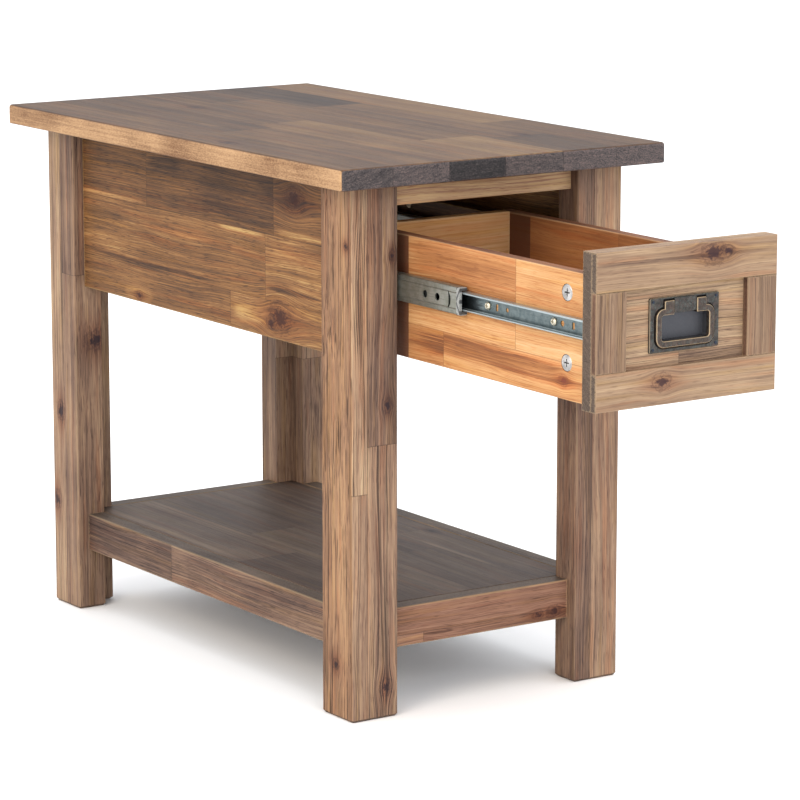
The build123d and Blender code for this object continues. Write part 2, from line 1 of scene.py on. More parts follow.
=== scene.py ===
"""Looks of the side table with drawer: its woods and metals, the light and the camera.

Every shown piece is a CAD node.  The axes are the frame's own: X across the table, Y to
the back, Z up.  Sizes on the table are in millimetres, those of the stage in metres.
"""

import math

import bpy
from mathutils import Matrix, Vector


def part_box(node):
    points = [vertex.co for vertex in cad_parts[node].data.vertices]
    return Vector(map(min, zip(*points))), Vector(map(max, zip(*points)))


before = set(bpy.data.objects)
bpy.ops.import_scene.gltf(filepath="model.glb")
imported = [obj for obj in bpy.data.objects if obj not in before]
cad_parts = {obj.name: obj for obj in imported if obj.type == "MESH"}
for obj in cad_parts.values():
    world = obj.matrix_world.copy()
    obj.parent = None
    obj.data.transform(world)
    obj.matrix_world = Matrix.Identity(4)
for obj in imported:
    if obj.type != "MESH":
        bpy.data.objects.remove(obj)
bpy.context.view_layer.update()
scene = bpy.context.scene

MM = 1000.0


# ---------------------------------------------------------------- node trees

# The Mix node's sockets for colours, which have the same names as those for numbers.
MIX_FIRST = 6
MIX_SECOND = 7
MIX_RESULT = 2


def colour(red, green, blue):
    """Linear RGBA of a colour given as the eye's 0-255 values."""
    linear = []
    for part in (red, green, blue):
        value = part / 255
        linear.append(value / 12.92 if value <= 0.04045 else ((value + 0.055) / 1.055) ** 2.4)
    return (*linear, 1.0)


class Signal:
    """An output of a node tree that can be added, multiplied and compared."""

    def __init__(self, tree, socket):
        self.tree = tree
        self.socket = socket

    def __add__(self, other):
        return self.tree.math("ADD", self, other)

    def __sub__(self, other):
        return self.tree.math("SUBTRACT", self, other)

    def __rsub__(self, other):
        return self.tree.math("SUBTRACT", other, self)

    def __mul__(self, other):
        return self.tree.math("MULTIPLY", self, other)

    def __truediv__(self, other):
        return self.tree.math("DIVIDE", self, other)

    def __gt__(self, other):
        return self.tree.math("GREATER_THAN", self, other)

    def __lt__(self, other):
        return self.tree.math("LESS_THAN", self, other)

    def __abs__(self):
        return self.tree.math("ABSOLUTE", self)

    __radd__ = __add__
    __rmul__ = __mul__


class Tree:
    """The node tree of one new material, with a Principled shader at its end."""

    def __init__(self, name):
        self.material = bpy.data.materials.new(name)
        self.material.use_nodes = True
        self.nodes = self.material.node_tree.nodes
        self.links = self.material.node_tree.links
        self.nodes.clear()
        output = self.nodes.new("ShaderNodeOutputMaterial")
        self.shader = self.nodes.new("ShaderNodeBsdfPrincipled")
        self.links.new(self.shader.outputs[0], output.inputs[0])
        self.where = self.nodes.new("ShaderNodeTexCoord")

    def put(self, socket, value):
        """Link a signal to a socket, or set the socket to a constant."""
        if isinstance(value, Signal):
            self.links.new(value.socket, socket)
        else:
            socket.default_value = value

    def set(self, **values):
        """Set or link the shader's sockets, named with _ for a space."""
        for name, value in values.items():
            self.put(self.shader.inputs[name.replace("_", " ")], value)

    def math(self, operation, *values):
        """A math node's result from signals and numbers."""
        node = self.nodes.new("ShaderNodeMath")
        node.operation = operation
        for socket, value in zip(node.inputs, values):
            self.put(socket, value)
        return Signal(self, node.outputs[0])

    def smooth(self, value, low, high):
        """0 below low, 1 above high, and a smooth step between them."""
        node = self.nodes.new("ShaderNodeMapRange")
        node.interpolation_type = "SMOOTHSTEP"
        self.put(node.inputs["Value"], value)
        self.put(node.inputs["From Min"], low)
        self.put(node.inputs["From Max"], high)
        return Signal(self, node.outputs[0])

    def position(self):
        """The three coordinates of the point, in millimetres."""
        split = self.nodes.new("ShaderNodeSeparateXYZ")
        self.links.new(self.where.outputs["Object"], split.inputs[0])
        return {axis: Signal(self, split.outputs[axis]) * MM for axis in "XYZ"}

    def facing(self, axis):
        """How squarely the surface faces along an axis, from 0 to 1."""
        split = self.nodes.new("ShaderNodeSeparateXYZ")
        self.links.new(self.where.outputs["Normal"], split.inputs[0])
        return abs(Signal(self, split.outputs[axis]))

    def squarely_facing(self, axis):
        """1 on the faces across an axis and 0 on the others, turning over at the edges."""
        return self.smooth(self.facing(axis), 0.6, 0.8)

    def vector(self, x, y, z):
        """Vector of three signals or numbers."""
        node = self.nodes.new("ShaderNodeCombineXYZ")
        for socket, value in zip(node.inputs, (x, y, z)):
            self.put(socket, value)
        return Signal(self, node.outputs[0])

    def noise(self, x, y, z, detail=2.0, roughness=0.5):
        """Noise, from 0 to 1 about 0.5, with features about one unit of x, y and z across."""
        node = self.nodes.new("ShaderNodeTexNoise")
        self.put(node.inputs["Vector"], self.vector(x, y, z))
        node.inputs["Scale"].default_value = 1.0
        node.inputs["Detail"].default_value = detail
        node.inputs["Roughness"].default_value = roughness
        return Signal(self, node.outputs[0])

    def chance(self, value):
        """A number from 0 to 1 that differs for each whole value."""
        node = self.nodes.new("ShaderNodeTexWhiteNoise")
        node.noise_dimensions = "1D"
        self.put(node.inputs["W"], value)
        return Signal(self, node.outputs["Value"])

    def ramp(self, factor, *stops):
        """Colour at factor between (position, colour) stops, given in rising order."""
        node = self.nodes.new("ShaderNodeValToRGB")
        elements = node.color_ramp.elements
        for element, (place, shade) in zip(list(elements), (stops[0], stops[-1])):
            element.position = place
            element.color = shade
        for place, shade in stops[1:-1]:
            elements.new(place).color = shade
        self.put(node.inputs[0], factor)
        return Signal(self, node.outputs[0])

    def mix(self, factor, first, second, blend="MIX"):
        """Colour first, turning to second as factor goes to 1."""
        node = self.nodes.new("ShaderNodeMix")
        node.data_type = "RGBA"
        node.blend_type = blend
        self.put(node.inputs[0], factor)
        self.put(node.inputs[MIX_FIRST], first)
        self.put(node.inputs[MIX_SECOND], second)
        return Signal(self, node.outputs[MIX_RESULT])

    def bump(self, height, depth_mm):
        """Normal of a surface whose height goes from 0 to depth_mm."""
        node = self.nodes.new("ShaderNodeBump")
        node.inputs["Strength"].default_value = 1.0
        node.inputs["Distance"].default_value = depth_mm / MM
        self.put(node.inputs["Height"], height)
        return Signal(self, node.outputs[0])


# ---------------------------------------------------------------- woods

# Where a palette's shades and end grain stand on the scale of tone.
SHADE_PLACES = (0.0, 0.28, 0.5, 0.7, 1.0)
END_PLACES = (0.1, 0.5, 0.95)

# Staves are numbered up each row, and those glued on behind start from their own number.
STAVES_IN_ROW = 7.0
FIRST_NUMBER_BEHIND = 50.0
GLUE_HALF_WIDTH = 0.3
WOOD_RELIEF = 0.3

# A knot reaches further along the grain than across it, and its shadow further still.
KNOT_STRETCH = 1.3
KNOT_DEPTH = 1.6
KNOT_TAIL = 3.5

# Tints that the wood is multiplied by where its hue wanders and beside its knots.
REDDER_TINT = colour(255, 220, 200)
YELLOWER_TINT = colour(255, 243, 200)
KNOT_TINT = colour(255, 196, 160)


class Palette:
    """Stops of a stained wood from its darkest grain to its lightest, and its end grain."""

    def __init__(self, shades, end, knot):
        self.shades = [colour(*shade) for shade in shades]
        self.end = [colour(*shade) for shade in end]
        self.knot = colour(*knot)


TOP = Palette(
    [(38, 30, 27), (60, 46, 38), (79, 59, 45), (94, 71, 52), (116, 92, 64)],
    [(37, 36, 37), (73, 67, 67), (113, 95, 89)],
    (44, 34, 34),
)
APRON = Palette(
    [(46, 34, 28), (78, 55, 38), (107, 75, 47), (132, 95, 60), (176, 146, 94)],
    [(36, 25, 19), (76, 53, 40), (108, 80, 60)],
    (48, 24, 20),
)
RAIL = Palette(
    [(46, 33, 30), (81, 57, 47), (112, 81, 66), (137, 103, 84), (182, 154, 116)],
    [(37, 27, 24), (77, 58, 50), (110, 86, 73)],
    (40, 22, 24),
)
LEG = Palette(
    [(42, 35, 34), (82, 64, 56), (117, 93, 77), (145, 119, 96), (176, 154, 122)],
    [(35, 27, 25), (70, 56, 49), (102, 83, 72)],
    (34, 28, 34),
)
# Shelf: darker and greyer than the other woods, partly stain and partly painted shade and painted
# sheen, as the shelf stands low under the table.
SHELF_WOOD_AND_SHADE = Palette(
    [(42, 36, 34), (64, 53, 48), (82, 69, 61), (96, 82, 71), (122, 105, 86)],
    [(33, 28, 26), (61, 52, 46), (87, 74, 65)],
    (36, 29, 30),
)
FRONT = Palette(
    [(58, 47, 44), (96, 76, 63), (122, 99, 80), (140, 116, 93), (166, 142, 112)],
    [(46, 38, 34), (72, 61, 53), (97, 83, 72)],
    (42, 28, 34),
)
BOX = Palette(
    [(96, 62, 44), (134, 87, 54), (164, 113, 71), (186, 142, 96), (204, 172, 132)],
    [(90, 60, 44), (131, 92, 62), (164, 128, 96)],
    (105, 54, 40),
)


def stave_layout(along, across, rows):
    """(tone, number) of the stave that a point lies in.

    rows go up the across axis, each as (its upper edge, staves); staves go up the
    along axis as tone, butt joint, tone, butt joint, tone and so on.
    """
    tone = 0.0
    number = 0.0
    low = None
    for place, (edge, staves) in enumerate(rows):
        row_tone = staves[0]
        row_number = STAVES_IN_ROW * place + 1
        for joint, before, after in zip(staves[1::2], staves[0::2], staves[2::2]):
            beyond = along > joint
            row_tone = beyond * (after - before) + row_tone
            row_number = beyond + row_number
        inside = 1.0
        if low is not None:
            inside = across > low
        if edge is not None:
            inside = (across < edge) * inside
        tone = inside * row_tone + tone
        number = inside * row_number + number
        low = edge
    return tone, number


def joint_lines(along, across, rows):
    """1 on the glue lines between staves."""
    line = 0.0
    low = None
    for edge, staves in rows:
        if edge is not None:
            line = (abs(across - edge) < GLUE_HALF_WIDTH) + line
        for joint in staves[1::2]:
            cut = abs(along - joint) < GLUE_HALF_WIDTH
            if low is not None:
                cut = cut * (across > low)
            if edge is not None:
                cut = cut * (across < edge)
            line = cut + line
        low = edge
    return line


def staves_of(run, rise, deep, rows, behind):
    """(tone, number, glue) of the staves in rows and of those glued on behind them.

    run, rise and deep are the point's places along the grain, across it and on the
    third axis, here and below.
    """
    tone, number = stave_layout(run, rise, rows)
    glue = joint_lines(run, rise, rows)
    if behind is not None:
        seam, back_rows = behind
        back_tone, back_number = stave_layout(run, rise, back_rows)
        back_glue = joint_lines(run, rise, back_rows)
        beyond = deep > seam
        tone = beyond * (back_tone - tone) + tone
        number = beyond * (back_number + FIRST_NUMBER_BEHIND - number) + number
        glue = beyond * (back_glue - glue) + glue + (abs(deep - seam) < GLUE_HALF_WIDTH)
    return tone, number, glue


def arris_distance(tree, place, node):
    """Distance in millimetres from the nearest arris of a board-shaped node."""
    low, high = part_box(node)
    near = []
    for axis, bottom, top in zip("XYZ", low, high):
        near.append(tree.math("MINIMUM", place[axis] - bottom * MM, top * MM - place[axis]))
    smaller = tree.math("MINIMUM", near[0], near[1])
    larger = tree.math("MAXIMUM", near[0], near[1])
    return tree.math("MAXIMUM", smaller, tree.math("MINIMUM", larger, near[2]))


def off_centre(signal, low, high):
    """How far a signal is from the middle of a span, as a share of half the span."""
    return abs(signal - (low + high) / 2) / (abs(high - low) / 2)


class Knots:
    """Knots in a board: how they bend the grain, and their dark hearts and rims."""

    def __init__(self, tree, knots, run, rise, deep):
        self.bend = 0.0
        self.heart = 0.0
        self.rim = 0.0
        self.shadow = 0.0
        ragged = tree.noise(run * 0.22, rise * 0.35, deep * 0.35, detail=4.0, roughness=0.65)
        for knot_run, knot_rise, knot_deep, radius in knots:
            off_run = (run - knot_run) / (radius * KNOT_STRETCH)
            off_rise = (rise - knot_rise) / radius
            off_deep = (deep - knot_deep) / (radius * KNOT_DEPTH)
            square = off_run * off_run + off_rise * off_rise + off_deep * off_deep
            push = tree.math("EXPONENT", square * -0.25)
            self.bend = (rise - knot_rise) * push * -0.8 + self.bend
            distance = tree.math("SQRT", square) + (ragged - 0.5) * 2.2
            heart = 1.0 - tree.smooth(distance, 0.4, 1.05)
            rim = 1.0 - tree.smooth(abs(distance - 1.25), 0.05, 0.3)
            tail_run = (run - knot_run) / (radius * KNOT_TAIL)
            tail = off_rise * off_rise * 0.6 + tail_run * tail_run + off_deep * off_deep * 0.3
            self.heart = tree.math("MAXIMUM", self.heart, heart)
            self.rim = tree.math("MAXIMUM", self.rim, rim)
            shadow = tree.math("EXPONENT", tail * -1.0)
            self.shadow = tree.math("MAXIMUM", self.shadow, shadow)


class Grain:
    """The noises of one board, nearly all drawn out along its grain.

    cloud is broad patches; bands, lines and fibres are ever finer streaks; pores and
    furrows are dark marks; hue wanders between redder and yellower wood.
    """

    def __init__(self, tree, run, rise, deep, pick, bend, seed):
        self.drift = tree.noise(
            run * 0.006, rise * 0.02 + pick * 40.0, deep * 0.02 + seed, detail=1.0
        )
        flow = rise + bend + self.drift * 12.0
        shift = pick * 900.0 + run
        self.cloud = tree.noise(run * 0.012 + seed, rise * 0.03, deep * 0.03, detail=2.0)
        self.bands = tree.noise(shift * 0.0025, flow * 0.1, deep * 0.1 + seed, detail=2.0)
        self.lines = tree.noise(
            shift * 0.004, flow * 0.45, deep * 0.45 + seed, detail=2.0, roughness=0.55
        )
        self.fibres = tree.noise(
            shift * 0.016, flow * 1.4, deep * 1.4 + seed, detail=2.0, roughness=0.6
        )
        self.pores = tree.noise(run * 0.07, flow * 1.25, deep * 1.25 + seed, detail=1.0)
        self.hue = tree.noise(
            shift * 0.006, flow * 0.12, deep * 0.12 + seed + 9.0, detail=3.0, roughness=0.6
        )
        self.furrows = tree.noise(
            shift * 0.006, flow * 0.8, deep * 0.8 + seed + 5.0, detail=2.0, roughness=0.6
        )


def streaked(tree, tone, noise, run, rise, deep, streaks, stripes):
    """The tone with ragged streaks on the face and stripes along the whole board."""
    ragged = (noise.bands - 0.5) * 1.8 + (noise.lines - 0.5) * 2.0 + (noise.fibres - 0.5) * 1.6
    for from_run, to_run, from_rise, to_rise, change in streaks:
        off_run = off_centre(run, from_run, to_run)
        off_rise = off_centre(rise, from_rise, to_rise)
        end = off_run * off_run
        inside = 1.0 - tree.smooth(off_rise * off_rise + end * end + ragged, 0.1, 1.5)
        tone = inside * change + tone
    for from_deep, to_deep, change in stripes:
        off_deep = off_centre(deep + noise.drift * 5.0 - 2.5, from_deep, to_deep)
        tone = (1.0 - tree.smooth(off_deep + ragged, 0.6, 1.1)) * change + tone
    return tone


def end_grain(tree, run, rise, deep, tone, picks, palette, ends, seed):
    """Colour of a board's ends: in each stave, rings round a pith that lies outside it."""
    across_pith = rise + picks[0] * 50.0 - 25.0
    up_pith = deep + picks[1] * 60.0 + 60.0
    radius = tree.math("SQRT", across_pith * across_pith + up_pith * up_pith)
    wobble = tree.noise(rise * 0.12, deep * 0.12, run * 0.1 + seed, detail=3.0)
    rings = tree.noise(
        wobble * 6.0 + radius * 0.7, rise * 0.07, deep * 0.07 + seed, detail=3.0, roughness=0.75
    )
    specks = tree.noise(rise * 0.9, deep * 1.6, run * 0.3 + seed, detail=2.0, roughness=0.7)
    level = tone * 0.9 + (rings - 0.5) * 1.1 + (specks - 0.5) * 1.8
    for from_rise, to_rise, change in ends:
        level = (off_centre(rise, from_rise, to_rise) < 1.0) * change + level
    return tree.ramp(level, *zip(END_PLACES, palette.end))


def wood(
    node,
    along,
    across,
    rows,
    palette,
    seed,
    knots=(),
    streaks=(),
    stripes=(),
    behind=None,
    ends=(),
    figure=0.4,
    grain=0.55,
    fibre=0.65,
    brushed=0.5,
    flank=None,
    painted_key_tint=None,
    arris=None,
):
    """Stained, glued-up acacia for one CAD node.

    along is the axis of the grain and across the one that the rows of staves go up.
    knots are (along, across, third axis, radius).  streaks are (along from, along to,
    across from, across to, change of tone); stripes are (from, to, change of tone) on
    the third axis and run the whole length.  behind is (third axis, rows) of the staves
    glued on beyond that place on the third axis.  ends are (across from, across to,
    change of tone) of the end grain.  figure, grain, fibre and brushed are the
    strengths of the broad bands, the fine lines, the fibres and the wire-brushed
    furrows.  flank is the pair of colours of the faces that face along the across axis;
    golden instead is a warm tint that their grain is multiplied by, painted light that
    stands in for the warm key light on those faces.  arris is the colour of the edges:
    by default the lightest shade, partly wear and partly a painted highlight; a darker
    arris colour is painted shade.
    """
    tree = Tree(f"wood_{node}")
    place = tree.position()
    through = "XYZ".replace(along, "").replace(across, "")
    run, rise, deep = place[along], place[across], place[through]
    tone, number, glue = staves_of(run, rise, deep, rows, behind)
    picks = (tree.chance(number + seed), tree.chance(number + seed + 0.37))
    knot = Knots(tree, knots, run, rise, deep)
    noise = Grain(tree, run, rise, deep, picks[0], knot.bend, seed)
    tone = streaked(tree, tone, noise, run, rise, deep, streaks, stripes)

    level = tone + (noise.cloud - 0.5) * 0.4 + (noise.bands - 0.5) * figure
    level = level + (noise.lines - 0.5) * grain + (noise.fibres - 0.5) * fibre
    level = level + (picks[1] - 0.5) * 0.1 - knot.shadow * 0.22
    level = level - tree.smooth(noise.pores, 0.56, 0.72) * fibre * 0.28
    face = tree.ramp(level, *zip(SHADE_PLACES, palette.shades))

    redder = tree.smooth(noise.hue, 0.5, 0.7) * 0.55
    yellower = (1.0 - tree.smooth(noise.hue, 0.3, 0.5)) * 0.5
    face = tree.mix(redder, face, REDDER_TINT, "MULTIPLY")
    face = tree.mix(yellower, face, YELLOWER_TINT, "MULTIPLY")
    face = tree.mix(knot.shadow * 0.5, face, KNOT_TINT, "MULTIPLY")
    furrow = tree.smooth(noise.furrows, 0.57, 0.63) * (picks[1] * 1.2 + 0.4) * brushed
    furrow = tree.math("MINIMUM", furrow, 1.0)
    face = tree.mix(furrow * 0.75, face, palette.shades[0])
    face = tree.mix(knot.rim * 0.35, face, palette.knot)
    face = tree.mix(knot.heart * 0.85, face, palette.knot)

    if flank is not None:
        sawn = tree.noise(run * 0.35, rise * 0.9, deep * 0.9 + seed, detail=3.0, roughness=0.7)
        patches = (noise.cloud - 0.5) * 1.8 + (noise.fibres - 0.5) * 0.9
        patches = patches + (noise.lines - 0.5) * 0.7 + (sawn - 0.5) * 1.7 + 0.5
        side = tree.mix(patches, *flank)
        face = tree.mix(tree.squarely_facing(across), face, side)
    # A warm tint on the flank faces: painted light that stands in for the warm key light on them.
    if painted_key_tint is not None:
        face = tree.mix(tree.squarely_facing(across), face, painted_key_tint, "MULTIPLY")
    end = end_grain(tree, run, rise, deep, tone, picks, palette, ends, seed)
    face = tree.mix(tree.squarely_facing(along), face, end)

    face = tree.mix(glue * 0.45, face, palette.shades[0])
    # Edges are mixed toward the arris colour: partly wear and partly a painted highlight, and
    # painted shade where that colour is dark.
    from_arris = arris_distance(tree, place, node) + (noise.lines - 0.5) * 5.0
    edge_wear_and_light = 1.0 - tree.smooth(from_arris, 0.2, 1.6)
    face = tree.mix(edge_wear_and_light * 0.3, face, arris or palette.shades[-1])

    height = (noise.fibres - 0.5) * 0.5 - furrow * 0.8 - glue * 0.4 - knot.heart * 0.2
    height = height + (noise.lines - 0.5) * 0.4 + 0.6
    tree.set(
        Base_Color=face,
        Roughness=(noise.fibres - 0.5) * 0.3 + furrow * 0.2 + 0.58,
        Specular_IOR_Level=0.12,
        Normal=tree.bump(height, WOOD_RELIEF),
    )
    dress(node, tree.material)


def dress(node, material):
    """Give a CAD node its material."""
    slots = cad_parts[node].data.materials
    slots.clear()
    slots.append(material)


# Tabletop: six staves wide.  Tones run from 0, the darkest shade, to 1, the lightest.
wood(
    "tabletop",
    "Y",
    "X",
    [
        (-124, [0.54]),
        (-64, [0.64, 118, 0.46]),
        (-3, [0.70, 152, 0.50]),
        (61, [0.78, -38, 0.56, 330, 0.40]),
        (121, [0.42, -62, 0.54, 242, 0.28]),
        (None, [0.48, 40, 0.74]),
    ],
    TOP,
    seed=3.0,
    knots=[(45, -158, 508, 5), (-57, 101, 508, 5), (305, -37, 508, 6)],
    streaks=[
        (-110, 130, -66, -58, 0.20),
        (10, 200, -8, -2, 0.22),
        (140, 350, -104, -99, 0.15),
        (160, 190, -106, -96, 0.12),
        (40, 320, 118, 126, 0.10),
    ],
    ends=[
        (-180, -124, -0.12),
        (-124, -64, -0.1),
        (-64, -3, -0.5),
        (-3, 61, -0.25),
        (61, 121, 0.12),
        (121, 180, 0.06),
    ],
    figure=0.5,
    grain=0.6,
    fibre=1.0,
    brushed=0.12,
    flank=(colour(104, 73, 50), colour(172, 138, 102)),
    # A darker arris colour: painted shade along the tabletop's rounded edges.
    arris=colour(92, 66, 52),
)

# Planed smooth, with little figure and hardly any furrows: in three strengths.
CALM = {"figure": 0.4, "grain": 0.4, "fibre": 0.55, "brushed": 0.12}
CALMEST = {"figure": 0.25, "grain": 0.25, "fibre": 0.35, "brushed": 0.1}
APRON_GRAIN = {"figure": 0.35, "grain": 0.35, "fibre": 1.0, "brushed": 0.15}

# Aprons: three rows of staves high.
wood(
    "left_apron",
    "Y",
    "Z",
    [
        (364.7, [0.62, 77, 0.50]),
        (425.7, [0.62, 15, 0.54]),
        (None, [0.44, 0.5, 0.36, 231, 0.44]),
    ],
    APRON,
    seed=11.0,
    knots=[(-35, 463, -137, 9), (247, 336, -137, 3.5), (-10, 351, -137, 11), (6, 344, -137, 5)],
    streaks=[
        (231, 400, 426, 431, 0.36),
        (222, 274, 330, 347, 0.2),
        (15, 100, 421, 426, 0.3),
        (-90, 0, 427, 433, 0.32),
        (165, 231, 464, 478, -0.18),
        (-20, 130, 430, 484, -0.1),
        (280, 350, 392, 420, -0.12),
        (100, 330, 366, 371, -0.25),
        (5, 70, 338, 354, 0.18),
        (-80, 10, 374, 379, -0.3),
    ],
    **APRON_GRAIN,
)
wood(
    "right_apron",
    "Y",
    "Z",
    [(368, [0.55, 180, 0.45]), (428, [0.50, 70, 0.60, 300, 0.50]), (None, [0.56, 150, 0.46])],
    APRON,
    seed=23.0,
    knots=[(230, 448, 137, 7), (20, 352, 137, 5)],
    streaks=[(60, 200, 426, 430, 0.4), (-80, 60, 370, 374, -0.25)],
    **APRON_GRAIN,
)
wood(
    "rear_apron",
    "X",
    "Z",
    [(372, [0.50, 20, 0.58]), (432, [0.58, -40, 0.48]), (None, [0.46])],
    APRON,
    seed=31.0,
    knots=[(60, 455, 396, 6)],
    streaks=[(-100, 10, 431, 435, 0.4)],
    **APRON_GRAIN,
)
wood(
    "front_top_rail",
    "X",
    "Z",
    [(None, [0.82])],
    RAIL,
    seed=37.0,
    brushed=0.2,
)

# Legs: glued up from staves that are jointed end to end.
wood(
    "front_left_leg",
    "Z",
    "X",
    [(-132.8, [0.62, 210, 0.66]), (None, [0.56, 253, 0.44])],
    LEG,
    seed=41.0,
    knots=[
        (29, -113, -145, 5),
        (424, -106, -145, 3),
        (289, -111, -145, 4),
        (50, -149, -120, 3),
        (434, -149, -138, 2),
    ],
    stripes=[(-142, -122, 0.1), (-120, -116, 0.08)],
    behind=(-145.5, [(None, [0.57])]),
    # Warm tint on the leg's side faces: painted light that stands in for the warm key light.
    painted_key_tint=colour(255, 241, 226),
    brushed=0.9,
)
wood(
    "front_right_leg",
    "Z",
    "X",
    [(118, [0.46]), (None, [0.64])],
    LEG,
    seed=47.0,
    figure=0.25,
    grain=0.45,
    brushed=0.6,
)
wood(
    "rear_left_leg",
    "Z",
    "Y",
    [(380.5, [0.56, 342, 0.46]), (None, [0.64])],
    LEG,
    seed=53.0,
    knots=[(200, 388, -149, 6), (107, 398, -149, 6), (275, 358, -126, 6)],
    brushed=0.5,
)
wood(
    "rear_right_leg",
    "Z",
    "Y",
    [(378, [0.52, 230, 0.60]), (392, [0.54]), (None, [0.46])],
    LEG,
    seed=59.0,
    figure=0.25,
    grain=0.4,
    brushed=0.5,
)

# Shelf: rails round a panel of staves, with their upper faces coloured like the panel,
# partly stain and partly painted shade and painted sheen.
SHELF_TOP_AND_SHADE = (colour(62, 52, 46), colour(100, 86, 75))
wood(
    "shelf_panel",
    "Y",
    "X",
    [
        (-52, [0.46, 98, 0.56]),
        (2, [0.54, 190, 0.46]),
        (72, [0.46, 40, 0.50]),
        (None, [0.52, 110, 0.42]),
    ],
    SHELF_WOOD_AND_SHADE,
    seed=61.0,
    knots=[(100, 107, 97, 5)],
    streaks=[
        (100, 370, -115, -106, 0.22),
        (170, 370, -58, -52, 0.22),
        (-110, 10, 0, 6, 0.25),
        (-50, 80, 72, 78, 0.25),
    ],
    brushed=0.15,
)
wood(
    "left_shelf_rail",
    "Y",
    "Z",
    [(None, [0.42, 192, 0.29])],
    LEG,
    seed=67.0,
    streaks=[(160, 192, 56, 102, 0.07)],
    flank=SHELF_TOP_AND_SHADE,
    grain=0.45,
    fibre=0.7,
    brushed=0.5,
)
wood(
    "right_shelf_rail",
    "Y",
    "Z",
    [(None, [0.32, 60, 0.38])],
    RAIL,
    seed=71.0,
    flank=SHELF_TOP_AND_SHADE,
    brushed=0.5,
)
wood(
    "front_shelf_rail",
    "X",
    "Z",
    [(70.7, [0.62, -63.5, 0.46]), (None, [0.57])],
    RAIL,
    seed=73.0,
    knots=[(66, 68, -132, 4), (84, 69, -132, 5)],
    streaks=[(-64, -30, 66, 70, -0.2)],
    figure=0.3,
    grain=0.4,
    flank=SHELF_TOP_AND_SHADE,
    brushed=0.3,
)
wood(
    "rear_shelf_rail",
    "X",
    "Z",
    [(None, [0.50, 25, 0.60])],
    APRON,
    seed=79.0,
    flank=SHELF_TOP_AND_SHADE,
    brushed=0.3,
)

# Hidden framing: battens and corner blocks of the aprons' wood, and paler dowels.
for number, node in enumerate(("left_slide_batten", "right_slide_batten")):
    wood(node, "Y", "Z", [(None, [0.15])], APRON, seed=83.0 + number, brushed=0.2)
for number, end in enumerate(("front_left", "front_right", "rear_left", "rear_right")):
    wood(f"{end}_corner_block", "X", "Y", [(None, [0.15])], APRON, seed=89.0 + number)
for number, node in enumerate(("frame_dowels", "drawer_back_dowels")):
    wood(node, "X", "Z", [(None, [0.85])], BOX, seed=97.0 + number, brushed=0.1)

# Drawer front: a board with strips applied round it.  The stiles' side faces are
# coloured darker: painted shade in the crevices beside the strips.
STRIP_SIDE_SHADE = (colour(58, 40, 34), colour(104, 78, 62))
wood(
    "drawer_front_board",
    "X",
    "Z",
    [(369, [0.66, -4, 0.50]), (None, [0.68])],
    FRONT,
    seed=101.0,
    fibre=0.95,
    brushed=0.6,
)
wood(
    "drawer_front_top_strip",
    "X",
    "Z",
    [(None, [0.64])],
    FRONT,
    seed=103.0,
    knots=[(27, 452, -434, 8), (43, 452, -434, 4)],
    streaks=[(-97, 97, 448, 452, -0.22)],
    brushed=0.3,
)
wood(
    "drawer_front_bottom_strip",
    "X",
    "Z",
    [(None, [0.66])],
    FRONT,
    seed=107.0,
    knots=[(-27, 347, -434, 6)],
    brushed=0.3,
)
wood("drawer_front_left_stile", "Z", "X", [(None, [0.36])], FRONT, seed=109.0, flank=STRIP_SIDE_SHADE)
wood("drawer_front_right_stile", "Z", "X", [(None, [0.44])], FRONT, seed=113.0, flank=STRIP_SIDE_SHADE)

# Drawer box: honey-coloured boards with darker upper edges.
BOX_TOP_EDGE = (colour(74, 46, 36), colour(132, 88, 60))
# Every row of the left side turns darker behind the legs' front plane: partly a darker stave and
# partly painted shadow of the front left leg.
wood(
    "drawer_left_side",
    "Y",
    "Z",
    [
        (361, [0.57, -200, 0.47, -145, -0.2]),
        (401, [0.70, -308, 0.66, -145, -0.2]),
        (None, [0.72, -308, 0.50, -145, -0.2]),
    ],
    BOX,
    seed=127.0,
    knots=[(-377, 345, -87, 4)],
    streaks=[(-250, -150, 396, 446, -0.1), (-400, -150, 341, 359, -0.3)],
    flank=BOX_TOP_EDGE,
    **CALM,
)
# Both rows of the right side turn darker towards the back: painted shadow inside the frame.
wood(
    "drawer_right_side",
    "Y",
    "Z",
    [(375, [0.3, -106, -0.1]), (None, [0.26, -240, 0.34, -106, -0.15])],
    BOX,
    seed=131.0,
    flank=BOX_TOP_EDGE,
    **CALMEST,
)
wood("drawer_back", "X", "Z", [(None, [0.64])], BOX, seed=137.0, **CALMEST)
wood(
    "drawer_bottom",
    "Y",
    "X",
    [(-20, [0.55]), (40, [0.62]), (None, [0.5])],
    BOX,
    seed=139.0,
    **CALM,
)


# ---------------------------------------------------------------- metals and plastic

ROLLING_MARK = colour(60, 62, 64)
GREASE = colour(30, 33, 38)
LIP_PAINTED_HIGHLIGHT = colour(222, 232, 234)


